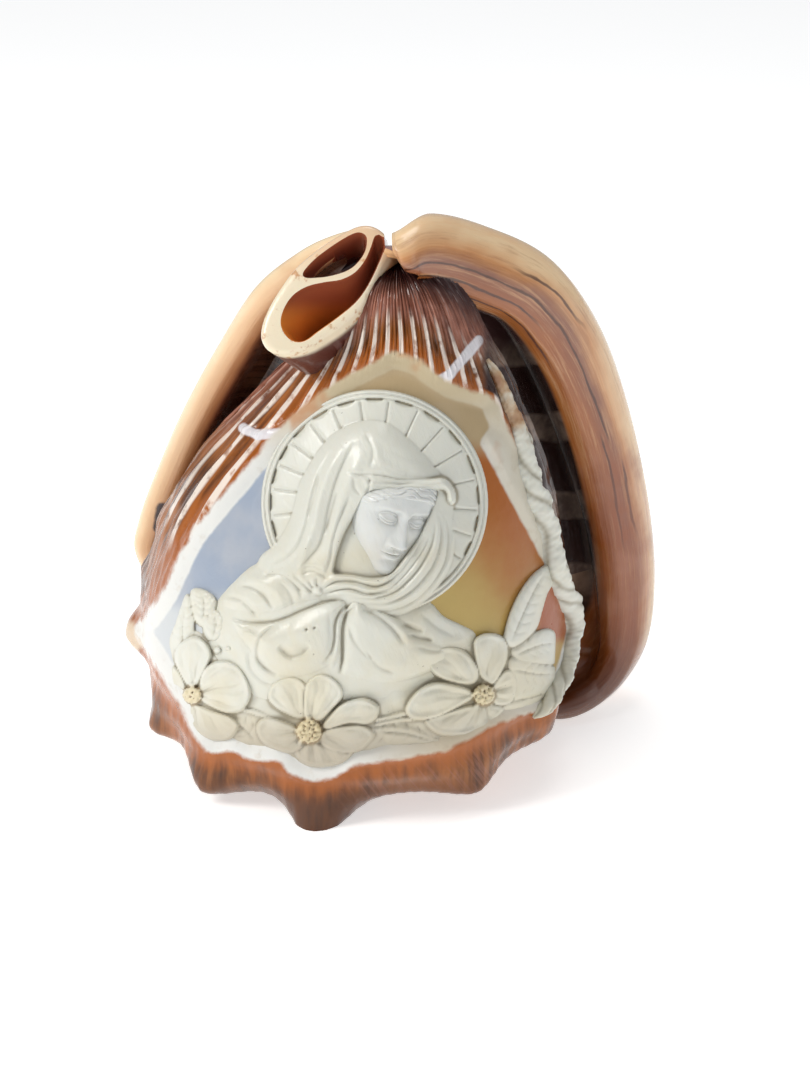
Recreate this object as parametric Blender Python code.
"""Carved cameo shell, one solid: a helmet shell that stands on its ground-flat spire and front
knobs, with a haloed, veiled figure among flowers cut in relief on the front of its last whorl.
Run with blender --background --python part.py. The model is in metres, +Z up, front along -Y."""

import math

import bmesh
import bpy
import numpy as np

MM = 0.001

# Driving sizes, in millimetres and degrees. The shell is drawn in its own frame, with z along
# its coiling axis from spire to canal, x to the lip side and y to the mouth side. It is then
# leant towards the viewer and moved so that its box stands on the origin.
LEAN = 14.0
MOVE = (-7.747, 12.987, -3.0)
FLOOR = 3.0
WALL = 6.5

# The whorl as a turned profile: radius and height, from the spire's tip to the canal's neck.
WHORL_PROFILE = [
    (0.3, 1.0), (8.0, 2.6), (18.0, 7.0), (29.0, 12.0), (39.0, 16.0), (46.5, 21.0), (50.5, 29.0),
    (51.5, 40.0), (50.0, 54.0), (46.5, 68.0), (40.5, 83.0), (31.5, 98.0), (24.0, 110.0),
    (18.5, 120.0), (14.0, 130.0), (9.0, 135.0), (0.3, 136.0),
]
# Sideways drift of the whorl's middle, and how far its mouth side is flattened, against height.
WHORL_DRIFT = [(0, 0.0), (60, 0.0), (83, 2.5), (98, 6.0), (110, 9.0), (122, 10.0), (136, 9.0)]
WHORL_BACK = [(0, 0.74), (60, 0.72), (98, 0.80), (122, 0.85), (136, 0.9)]

# Knobs: angle round the axis from the front towards the lip, height, reach and spread.
KNOBS = [
    (-11, 17.5, 13.8, 7.8), (-43, 19.0, 9.5, 9.4), (-69, 21.5, 6.5, 7.2), (-96, 33.0, 6.8, 7.0),
    (32, 22.0, 5.2, 8.6), (60, 26.0, 4.0, 8.0), (-128, 27.0, 5.0, 8.0), (92, 26.0, 4.0, 8.0),
    (-101, 49.0, 3.0, 6.0), (-103, 64.0, 2.0, 6.0),
]
KNOB_DROOP = 0.35

# The rim of the callus round the mouth, seen from the front: x, y, z of its outline, clockwise
# from the lip's top, then how much it is thick lip and not thin shield, and how wide it is.
RIM = [
    (8.6, -5.0, 145.0, 0.6, 0.7), (16.3, 0.5, 146.0, 0.9, 1.0), (28.6, 8.0, 139.2, 1.0, 1.3),
    (44.2, 15.0, 126.8, 1.0, 1.3), (56.3, 21.0, 106.8, 1.0, 1.4), (65.0, 25.0, 81.1, 1.0, 1.35),
    (71.5, 26.0, 52.0, 1.0, 1.2), (73.8, 25.0, 30.0, 1.0, 1.1), (72.0, 22.0, 14.0, 1.0, 0.95),
    (63.5, 15.5, 4.0, 0.9, 0.8), (50.0, 10.0, 0.5, 0.7, 0.7), (36.0, 21.0, -1.0, 0.5, 0.7),
    (12.0, 30.0, 0.0, 0.4, 0.7), (-14.0, 30.0, 3.0, 0.35, 0.8), (-35.0, 25.0, 12.0, 0.2, 0.9),
    (-48.0, 22.0, 26.0, 0.1, 1.0), (-55.8, 21.0, 42.0, 0.0, 1.0), (-54.8, 22.0, 52.0, 0.0, 1.0),
    (-48.7, 22.0, 68.7, 0.0, 1.0), (-41.2, 18.0, 87.6, 0.0, 1.0), (-32.6, 14.0, 105.8, 0.0, 1.0),
    (-23.2, 8.0, 124.0, 0.05, 0.9), (-13.1, 4.0, 135.0, 0.1, 0.7), (-5.6, 2.0, 140.2, 0.1, 0.6),
    (1.0, 0.0, 143.0, 0.1, 0.5), (5.0, -2.0, 142.5, 0.2, 0.5),
]
# The rim's section, as steps outwards and towards the front from its outline, from the groove
# beside the whorl, round the edge, to its mouth face.
LIP_SECTION = [
    (-14, -5), (-13, -1), (-13.4, 4), (-11.5, 8), (-8, 9.5), (-3.4, 7.0), (0, 0), (-1.6, -7),
    (-7, -12.5),
]
SHIELD_SECTION = [
    (-14, -5), (-10.5, -2.5), (-8.5, 0.5), (-6.8, 2.6), (-4, 3.2), (-1.2, 2.0), (0, 0), (-0.8, -3),
    (-5, -7),
]
# The mouth face's middle line, where the lip and the shield meet, as height, x and y.
MIDDLE = [(10, 16, 36), (40, 15, 39), (70, 13.5, 37), (98, 11.5, 30), (122, 9.5, 20), (144, 7, 6)]
# The mouth's slit on that line: height, width, and the y at which the cut starts.
SLIT = [
    (17, 4.0, 25), (27, 8.0, -12), (60, 9.0, -15), (100, 9.0, -12), (112, 7.0, -6), (125, 4.0, 2),
    (134, 2.4, 2), (140, 1.8, -1), (144, 1.8, -14), (152, 2.2, -14), (165, 3.0, -14),
]
# The chamber inside the whorl, wrapped round the columella between these angles and heights.
CHAMBER_ANGLES = (-140.0, 170.0)
CHAMBER_HEIGHTS = (22.0, 114.0)

# The canal's cut end, drawn on its own flat plane in steps right and up from its middle.
CANAL_AT = (-7.3, -12.0, 131.0)
CANAL_TILT = 40.0
CANAL_OUTLINE = [
    (14.5, 13.0), (12.5, 4.0), (9.0, -3.0), (3.0, -9.0), (-3.0, -12.5), (-9.0, -13.5),
    (-13.5, -11.0), (-15.0, -6.5), (-13.0, -1.5), (-10.5, 2.0), (-9.0, 6.5), (-4.0, 12.0),
    (2.0, 16.2), (8.0, 18.0), (12.5, 16.8),
]
CANAL_HOLE = [
    (12.2, 10.5), (11.0, 5.0), (7.5, -0.8), (2.0, -6.0), (-3.0, -8.6), (-7.0, -8.4),
    (-9.6, -5.6), (-8.4, -1.4), (-4.5, 1.2), (2.0, 2.2), (6.5, 4.4), (9.8, 8.5), (10.8, 11.0),
]
POCKET_HOLE = [
    (-5.5, 5.0), (-3.0, 8.6), (2.0, 12.2), (6.8, 14.4), (9.0, 13.4), (8.2, 10.0), (5.0, 6.6),
    (0.5, 4.8),
]

# The carver's view: the relief is drawn on a flat plane through the shell's axis, square to the
# line from the eye, in millimetres right and up of the plane's middle.
EYE_DISTANCE = 620.0
EYE_HEIGHT = 20.0
PLANE_HEIGHT = 49.5
EYE_SHIFT = (10.8, 9.6)

# The carved field's edge, and how deep and wide its sloping border is.
FIELD = [
    (8, 54.5), (14, 53), (18, 50), (22, 47.5), (27, 46), (32, 44), (34, 40), (36, 36), (38, 32),
    (41, 26), (44, 18), (47, 10), (49, 3), (51, -3), (54, -9), (53, -15), (51, -22), (49, -28),
    (45, -31), (38, -33), (32, -35), (26, -38.5), (20, -41), (14, -42), (8, -43), (0, -44.5),
    (-5, -47), (-12, -48.5), (-17, -46.5), (-20, -43.5), (-27, -43), (-31, -41), (-36, -41.5),
    (-40, -37), (-43, -31), (-47, -24), (-50, -19), (-54, -12), (-51, -8), (-47, -2), (-44, 5),
    (-40, 12), (-36, 17), (-31, 23), (-25, 30), (-20, 36), (-14, 41), (-8, 46), (-2, 50), (4, 53),
]
GROUND = -3.4
BORDER = 4.5
HALO = (3.5, 18.5, 27.3)
VEIL = [
    (-22, 3), (-19, 8), (-17, 14), (-15.5, 20), (-13, 27), (-9, 33), (-4, 37), (2, 38.3),
    (7, 37.5), (11, 34.5), (15, 29.5), (18, 25.5), (21, 22.5), (22.5, 19), (21, 14), (22, 8),
    (20, 1), (16, -4), (10, -8), (2, -9), (-8, -7), (-16, -3),
]
ROBE = [
    (-35, -4), (-30, 0), (-25, 3), (-20, 3), (-12, -1), (-4, -3), (4, -6), (11, -6), (16, -5),
    (22, -8), (28, -13), (24, -18), (18, -23), (10, -26), (2, -28), (-8, -29), (-18, -29),
    (-28, -27), (-34, -21), (-37, -12),
]
MANTLE_LEFT = [
    (-28, -9), (-20, -7), (-12, -6), (-5, -8), (-4, -13), (-7, -19), (-13, -22), (-21, -20),
    (-27, -15),
]
MANTLE_RIGHT = [
    (-2, -8), (4, -10), (12, -12), (20, -16), (22, -20), (16, -23), (8, -24), (0, -22), (-4, -15),
]
# Round masses of the figure: middle, half sizes, turn in degrees, level at its edge and top.
# The face is a plain calm one: nose, brows, lids, lips, chin and cheek are soft bumps and hollows
# at steps right and up from its middle, each with its half sizes and height.
FACE = (8.0, 12.0, 8.2, 11.2, -20.0, -1.6, 2.0)
FACE_FORMS = [
    (2.6, 0.2, 1.0, 3.4, 1.1), (2.9, -2.2, 1.4, 1.1, 0.9), (-1.5, 1.3, 2.2, 1.2, -1.0),
    (5.4, 1.3, 1.4, 1.2, -1.0), (-1.5, 1.1, 1.3, 0.7, 0.6), (5.3, 1.1, 0.9, 0.7, 0.6),
    (2.2, -4.4, 1.9, 0.5, 0.5), (2.2, -5.6, 1.5, 0.6, 0.5), (2.0, -8.3, 2.0, 1.5, 0.7),
    (-2.4, -2.6, 2.8, 2.8, 0.5),
]
NECK = (4.0, 0.5, 7.5, 6.5, -20.0, -2.6, -0.8)
FLOWERS = [(-39, -28, 10.5, 10), (-11.5, -37, 10.5, 75), (29, -26, 10.5, 40)]
LEAVES = [
    (40, -6, 11, 3.6, 78), (44, -19, 9, 3.4, 118), (37, -14, 7, 3.0, 95), (-42, -10, 9, 3.4, 100),
    (-26, -34, 7, 2.4, -35), (7, -31.5, 8, 2.6, 15), (-35, -13, 5, 3.0, 60), (44, 8, 8, 2.2, 105),
]


def smooth_steps(start, end, value):
    """0 before start, 1 after end, and an S-shaped rise between them."""
    share = np.clip((value - start) / (end - start), 0.0, 1.0)
    return share * share * (3.0 - 2.0 * share)


def read_line(knots, at, column=1):
    """A value of a hand-set table of (place, value, ...) rows, joined by smooth cubic pieces."""
    knots = np.asarray(knots, float)
    place, value = knots[:, 0], knots[:, column]
    at = np.clip(at, place[0], place[-1])
    slope = np.gradient(value, place)
    i = np.clip(np.searchsorted(place, at, side="right") - 1, 0, len(knots) - 2)
    gap = place[i + 1] - place[i]
    f = (at - place[i]) / gap
    return (
        (2 * f**3 - 3 * f**2 + 1) * value[i] + (f**3 - 2 * f**2 + f) * gap * slope[i]
        + (3 * f**2 - 2 * f**3) * value[i + 1] + (f**3 - f**2) * gap * slope[i + 1]
    )


def curve_through(knots, count, closed=False):
    """count points at even distances along a Catmull-Rom curve through the knots."""
    knots = np.asarray(knots, float)
    spans = len(knots) if closed else len(knots) - 1
    t = np.linspace(0.0, spans, spans * 40 + 1)
    i = np.minimum(t.astype(int), spans - 1)
    f = (t - i)[:, None]
    if closed:
        before, after = knots[(i - 1) % len(knots)], knots[(i + 2) % len(knots)]
    else:
        before, after = knots[np.maximum(i - 1, 0)], knots[np.minimum(i + 2, len(knots) - 1)]
    here, there = knots[i], knots[(i + 1) % len(knots)]
    fine = 0.5 * (
        2 * here + (there - before) * f + (2 * before - 5 * here + 4 * there - after) * f**2
        + (3 * here - before - 3 * there + after) * f**3
    )
    run = np.concatenate([[0.0], np.cumsum(np.linalg.norm(np.diff(fine[:, :3], axis=0), axis=1))])
    at = np.linspace(0.0, run[-1], count + 1)[:-1] if closed else np.linspace(0.0, run[-1], count)
    return np.stack([np.interp(at, run, column) for column in fine.T], axis=1)


def leant(points):
    """Points of the shell's own frame, leant towards the viewer and moved over the origin."""
    c, s = math.cos(math.radians(LEAN)), math.sin(math.radians(LEAN))
    x, y, z = points[..., 0], points[..., 1], points[..., 2]
    return np.stack([x, y * c - z * s, y * s + z * c], axis=-1) + np.array(MOVE)


def carver_view():
    """The carver's eye, the plane's middle, and the directions right, up and away from the eye."""
    e = math.radians(EYE_HEIGHT)
    right, up = np.array([1.0, 0, 0]), np.array([0.0, math.sin(e), math.cos(e)])
    away = np.array([0.0, math.cos(e), -math.sin(e)])
    middle = leant(np.array([0.0, 0.0, PLANE_HEIGHT]))
    eye = middle + EYE_SHIFT[0] * right + EYE_SHIFT[1] * up - EYE_DISTANCE * away
    return eye, middle, right, up, away


def seen_at(points):
    """Where the carver sees points: right and up on the plane, and the unit ray to the eye."""
    eye, _, right, up, away = carver_view()
    ray = points - eye
    depth = ray @ away
    u = EYE_SHIFT[0] + EYE_DISTANCE * (ray @ right) / depth
    v = EYE_SHIFT[1] + EYE_DISTANCE * (ray @ up) / depth
    return u, v, -ray / np.linalg.norm(ray, axis=-1, keepdims=True)


def edge_distance(outline, u, v):
    """Distance from a closed outline: above 0 inside it and below 0 outside."""
    nearest, inside = np.full(u.shape, 1e9), np.zeros(u.shape, bool)
    for (ax, ay), (bx, by) in zip(outline, np.roll(outline, -1, axis=0)):
        dx, dy = bx - ax, by - ay
        share = np.clip(((u - ax) * dx + (v - ay) * dy) / (dx * dx + dy * dy), 0.0, 1.0)
        nearest = np.minimum(nearest, np.hypot(u - ax - share * dx, v - ay - share * dy))
        if ay != by:
            inside ^= ((ay > v) != (by > v)) & (u < ax + (v - ay) * dx / dy)
    return np.where(inside, nearest, -nearest)


def pad(height, outline, base, top, roundness, u, v):
    """The relief with a round-edged pad laid on it, from base at the outline to top inside."""
    inward = edge_distance(curve_through(outline, 4 * len(outline), closed=True), u, v)
    lift = np.sqrt(1.0 - (1.0 - np.clip(inward / roundness, 0.0, 1.0)) ** 2)
    return np.where(inward > 0, np.maximum(height, base + (top - base) * lift), height)


def dome(height, shape, u, v):
    """The relief with half an egg laid on it."""
    middle_u, middle_v, half_u, half_v, turn, base, top = shape
    c, s = math.cos(math.radians(turn)), math.sin(math.radians(turn))
    a, b = c * (u - middle_u) + s * (v - middle_v), c * (v - middle_v) - s * (u - middle_u)
    inside = 1.0 - (a / half_u) ** 2 - (b / half_v) ** 2
    lift = base + (top - base) * np.sqrt(np.clip(inside, 0.0, 1.0))
    return np.where(inside > 0, np.maximum(height, lift), height)


def carving(u, v):
    """Height of the carved front over the untouched whorl: the field cut down to its ground,
    then the halo, the veiled figure, the flowers and the leaves left standing on it."""
    inward = edge_distance(curve_through(FIELD, 200, closed=True), u, v)
    height = GROUND * smooth_steps(0.0, BORDER, inward)
    from_halo = HALO[2] - np.hypot(u - HALO[0], v - HALO[1])
    rim = 0.7 * smooth_steps(0.0, 0.6, from_halo) * smooth_steps(2.6, 1.6, from_halo)
    disc = np.where(from_halo > 0, -2.5 + rim, GROUND)
    height = np.where(inward > BORDER, np.maximum(height, disc), height)
    height = pad(height, ROBE, GROUND, -1.0, 7.0, u, v)
    height = pad(height, MANTLE_LEFT, -2.0, 0.5, 5.0, u, v)
    height = pad(height, MANTLE_RIGHT, -2.0, 0.3, 5.0, u, v)
    height = dome(height, NECK, u, v)
    height = pad(height, VEIL, -2.6, -0.2, 6.0, u, v)
    height = dome(height, FACE, u, v)
    turn = math.radians(FACE[4])
    right = math.cos(turn) * (u - FACE[0]) + math.sin(turn) * (v - FACE[1])
    above = math.cos(turn) * (v - FACE[1]) - math.sin(turn) * (u - FACE[0])
    on_face = smooth_steps(1.0, 0.7, (right / FACE[2]) ** 2 + (above / FACE[3]) ** 2)
    for at_right, at_up, half_right, half_up, lift in FACE_FORMS:
        off = ((right - at_right) / half_right) ** 2 + ((above - at_up) / half_up) ** 2
        height = height + on_face * lift * np.exp(-off)
    for middle_u, middle_v, reach, turn in FLOWERS:
        for k in range(5):
            a = math.radians(turn + 72 * k)
            petal = (middle_u + 0.52 * reach * math.cos(a), middle_v + 0.52 * reach * math.sin(a),
                     0.48 * reach, 0.36 * reach, math.degrees(a), -2.4, -0.2)
            height = dome(height, petal, u, v)
        height = dome(height, (middle_u, middle_v, 2.6, 2.6, 0.0, -1.5, 0.7), u, v)
    for middle_u, middle_v, half, wide, turn in LEAVES:
        height = dome(height, (middle_u, middle_v, half, wide, turn, -3.0, -0.9), u, v)
    return height


def solid(name, rings, collection):
    """A closed mesh through rings of points, each ring closed. Each end is closed by a strip
    that joins point i of the ring to point n - 1 - i."""
    rows, around = rings.shape[:2]
    i, j = np.meshgrid(np.arange(rows - 1), np.arange(around), indexing="ij")
    n = (j + 1) % around
    side = np.stack([i * around + j, i * around + n, (i + 1) * around + n, (i + 1) * around + j], -1)
    k = np.arange(around // 2 - 1)
    cap = np.stack([k, around - 1 - k, around - 2 - k, k + 1], -1)
    faces = np.concatenate([side.reshape(-1, 4), cap[:, ::-1], cap + (rows - 1) * around])
    mesh = bpy.data.meshes.new(name)
    mesh.from_pydata((rings.reshape(-1, 3) * MM).tolist(), [], faces.tolist())
    work = bmesh.new()
    work.from_mesh(mesh)
    bmesh.ops.recalc_face_normals(work, faces=work.faces)
    if work.calc_volume(signed=True) < 0:
        bmesh.ops.reverse_faces(work, faces=work.faces)
    work.to_mesh(mesh)
    work.free()
    made = bpy.data.objects.new(name, mesh)
    collection.objects.link(made)
    return made


def whorl_radius(height):
    """The whorl's radius at a height of its own frame, off the knobs."""
    profile = curve_through(WHORL_PROFILE, 400)
    return np.interp(height, profile[:, 1], profile[:, 0])


def whorl_surface(angles, profile):
    """Points of the last whorl and spire. Each profile point is turned round the axis by the
    angles, flattened on the mouth side, drifted sideways, and pulled out by the knobs."""
    radius, height = profile[:, 0][:, None], profile[:, 1][:, None]
    x = radius * np.sin(angles) + read_line(WHORL_DRIFT, height)
    y = -radius * np.cos(angles)
    y = np.where(y > 0, y * read_line(WHORL_BACK, height), y)
    points = np.stack([x, y, height + 0 * x], axis=-1)
    pulled = points.copy()
    for degrees, at_height, reach, spread in KNOBS:
        a = math.radians(degrees)
        r = np.interp(at_height, profile[:, 1], profile[:, 0])
        root = np.array([r * math.sin(a), -r * math.cos(a), at_height])
        root[1] *= float(read_line(WHORL_BACK, np.array(at_height))) if root[1] > 0 else 1.0
        away = np.linalg.norm(points - root, axis=-1)
        out = np.array([math.sin(a), -math.cos(a), -KNOB_DROOP])
        pulled += (reach * np.exp(-((away / spread) ** 1.8)))[..., None] * out
    return pulled


def whorl(collection, around, rows):
    """The last whorl with its spire and knobs, its front carved along the carver's rays."""
    profile = curve_through(WHORL_PROFILE, rows)
    turn = np.linspace(-math.pi, math.pi, around, endpoint=False)
    points = leant(whorl_surface(turn - 0.35 * np.sin(turn), profile))
    u, v, to_eye = seen_at(points)
    along = np.roll(points, -1, axis=1) - np.roll(points, 1, axis=1)
    facing = np.cross(along, np.gradient(points, axis=0))
    facing /= np.linalg.norm(facing, axis=-1, keepdims=True) + 1e-9
    towards = smooth_steps(0.0, 0.2, (facing * to_eye).sum(axis=-1))
    points += (towards * carving(u, v))[..., None] * to_eye
    return solid("shell", points, collection)


def callus(collection):
    """The thick lip and thin shield round the mouth: a plate with a rolled rim, lofted from a
    slot inside the whorl, over the rim, to the mouth face's middle line."""
    rim = curve_through(RIM, 76, closed=True)
    place, lip, wide = rim[:, :3], np.clip(rim[:, 3:4], 0.0, 1.0), rim[:, 4:5]
    along = np.roll(place, -1, axis=0) - np.roll(place, 1, axis=0)
    outward = np.stack([-along[:, 2], 0 * along[:, 0], along[:, 0]], axis=1)
    outward /= np.linalg.norm(outward, axis=1, keepdims=True)
    rows = []
    for (lip_out, lip_fore), (shield_out, shield_fore) in zip(LIP_SECTION, SHIELD_SECTION):
        out = wide * (lip * lip_out + (1 - lip) * shield_out)
        fore = np.minimum(wide, 1.0) * (lip * lip_fore + (1 - lip) * shield_fore)
        rows.append(place + out * outward + fore * np.array([0.0, -1.0, 0.0]))
    height = np.clip(place[:, 2], 20.0, 128.0)
    step = np.sign(place[:, :1] - 9.0) * np.array([2.0, 0.0, 0.0])
    middle = np.stack([read_line(MIDDLE, height), read_line(MIDDLE, height, 2), height], axis=1)
    middle += step
    inner = np.stack([read_line(WHORL_DRIFT, height), 2.0 + 0 * height, height], axis=1)
    inner[:, 2] = np.clip(inner[:, 2], 26.0, 112.0)
    inner += step
    bulge = np.array([0.0, 2.5, 0.0])
    mouth = [(1 - t) * rows[-1] + t * middle + 4 * t * (1 - t) * bulge for t in (0.3, 0.65)]
    rings = np.stack([inner, 0.5 * (inner + rows[0]), *rows, *mouth, middle])
    return solid("callus", leant(rings), collection)


def canal_rings(outline, steps, count):
    """Rings of an outline on the canal's cut plane, carried by (right, back, up, size) steps."""
    t = math.radians(CANAL_TILT)
    up = np.array([0.0, math.sin(t), math.cos(t)])
    flat = curve_through([(a, b, 0.0) for a, b in outline], count, closed=True)
    flat = flat[:, :1] * np.array([1.0, 0.0, 0.0]) + flat[:, 1:2] * up
    return np.stack([np.array(CANAL_AT) + step[:3] + step[3] * flat for step in np.array(steps)])


def chamber(collection):
    """The hollow of the last whorl, wrapped round the columella and open to the slit."""
    heights = np.linspace(*CHAMBER_HEIGHTS, 11)
    angles = np.radians(np.linspace(*CHAMBER_ANGLES, 19))
    rings = []
    for height in heights:
        outer = float(whorl_radius(height)) - WALL
        end = min(height - heights[0], heights[-1] - height)
        inner = 0.28 * outer + 2.0
        swell = math.sqrt(max(0.0, 1.0 - (1.0 - min(end / 14.0, 1.0)) ** 2))
        middle, half = 0.5 * (outer + inner), 0.5 * (outer - inner) * (0.25 + 0.75 * swell)
        radii = np.concatenate([np.full(19, middle + half), np.full(19, middle - half)])
        turn = np.concatenate([angles, angles[::-1]])
        x = radii * np.sin(turn) + float(read_line(WHORL_DRIFT, height))
        y = -radii * np.cos(turn)
        y = np.where(y > 0, y * float(read_line(WHORL_BACK, height)), y)
        rings.append(np.stack([x, y, np.full(38, height)], axis=1))
    return solid("chamber", leant(np.stack(rings)), collection)


def slit(collection):
    """The long narrow mouth between the lip and the shield, open through the canal's top."""
    rings = []
    for height, width, start in SLIT:
        x = float(read_line(MIDDLE, height))
        corners = [(x - width / 2, start), (x - width / 2, 75), (x + width / 2, 75)]
        corners.append((x + width / 2, start))
        rings.append([(a, b, height) for a, b in corners])
    return solid("slit", leant(np.array(rings)), collection)


def slab(collection):
    """A block whose top is the floor that the shell is ground flat to stand on."""
    corners = np.array([(-120.0, -120.0), (-120.0, 120.0), (120.0, 120.0), (120.0, -120.0)])
    rings = [np.column_stack([corners, np.full(4, z)]) for z in (FLOOR - 40.0, FLOOR)]
    return solid("floor", np.stack(rings) + np.array(MOVE), collection)


def combine(target, other, operation):
    """Joins a hidden helper to the target, or cuts it away, with a Boolean modifier."""
    other.hide_render = True
    other.display_type = "WIRE"
    step = target.modifiers.new(f"{operation.lower()} {other.name}", "BOOLEAN")
    step.operation = operation
    step.object = other
    step.solver = "EXACT"


def main():
    for old in list(bpy.data.objects):
        bpy.data.objects.remove(old)
    parts = bpy.data.collections.new("carved_cameo_shell")
    tools = bpy.data.collections.new("cutters")
    bpy.context.scene.collection.children.link(parts)
    bpy.context.scene.collection.children.link(tools)

    shell = whorl(parts, 260, 190)
    thin = shell.modifiers.new("thin to facets", "DECIMATE")
    thin.ratio = 0.058
    tube_steps = [(0, 0, 0, 1), (4, 6, -8, 0.95), (9, 12, -20, 0.7)]
    combine(shell, callus(tools), "UNION")
    combine(shell, solid("canal_tube", leant(canal_rings(CANAL_OUTLINE, tube_steps, 30)), tools),
            "UNION")
    hole_steps = [(-0.2, -6, 4, 1), (0.3, 1.1, -1.2, 0.96), (4, 5, -9, 0.75), (14, 9, -26, 0.8)]
    combine(shell, chamber(tools), "DIFFERENCE")
    combine(shell, slit(tools), "DIFFERENCE")
    combine(shell, solid("canal", leant(canal_rings(CANAL_HOLE, hole_steps, 26)), tools),
            "DIFFERENCE")
    pocket_steps = [(-0.2, -6, 4, 1), (0.2, 1.3, -0.9, 0.96), (2, 12, -8, 0.6)]
    combine(shell, solid("pocket", leant(canal_rings(POCKET_HOLE, pocket_steps, 20)), tools),
            "DIFFERENCE")
    combine(shell, slab(tools), "DIFFERENCE")

    look = bpy.data.materials.new("shell")
    look.use_nodes = True
    look.node_tree.nodes["Principled BSDF"].inputs["Base Color"].default_value = (0.62, 0.4, 0.28, 1)
    look.node_tree.nodes["Principled BSDF"].inputs["Roughness"].default_value = 0.3
    shell.data.materials.append(look)
    shell.data.shade_smooth()


main()
